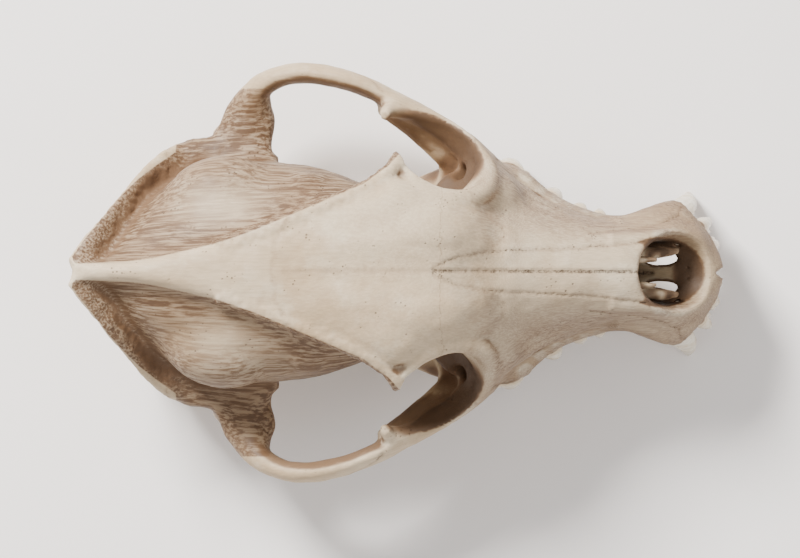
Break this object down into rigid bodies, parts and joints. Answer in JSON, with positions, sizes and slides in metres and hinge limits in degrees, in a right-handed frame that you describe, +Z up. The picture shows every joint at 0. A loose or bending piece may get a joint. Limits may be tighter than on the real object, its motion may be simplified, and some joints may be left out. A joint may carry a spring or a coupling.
{
  "type": "dog skull",
  "caption": "Dry cranium of a large dog with its upper teeth, open eye sockets, nose, arches and braincase, resting on its canines and the back of its base.",
  "frame": {"origin": "middle of the bounding box at the table the skull stands on", "axes": "+X towards the nose, +Y towards the animal's left side, +Z up"},
  "size_m": [0.2146, 0.1384, 0.0865],
  "materials": {
    "bone": "matte dry bone, cream with brown in the hollows",
    "enamel": "satin tooth enamel, ivory with stained necks"
  },
  "bodies": {
    "root": {"cranium": "bone", "incisor_1_left": "enamel", "incisor_1_right": "enamel", "incisor_2_left": "enamel", "incisor_2_right": "enamel", "incisor_3_left": "enamel", "incisor_3_right": "enamel", "canine_left": "enamel", "canine_right": "enamel", "premolar_1_left": "enamel", "premolar_1_right": "enamel", "premolar_2_left": "enamel", "premolar_2_right": "enamel", "premolar_3_left": "enamel", "premolar_3_right": "enamel", "premolar_4_left": "enamel", "premolar_4_right": "enamel", "molar_1_left": "enamel", "molar_1_right": "enamel", "molar_2_left": "enamel", "molar_2_right": "enamel"}
  },
  "joints": []
}
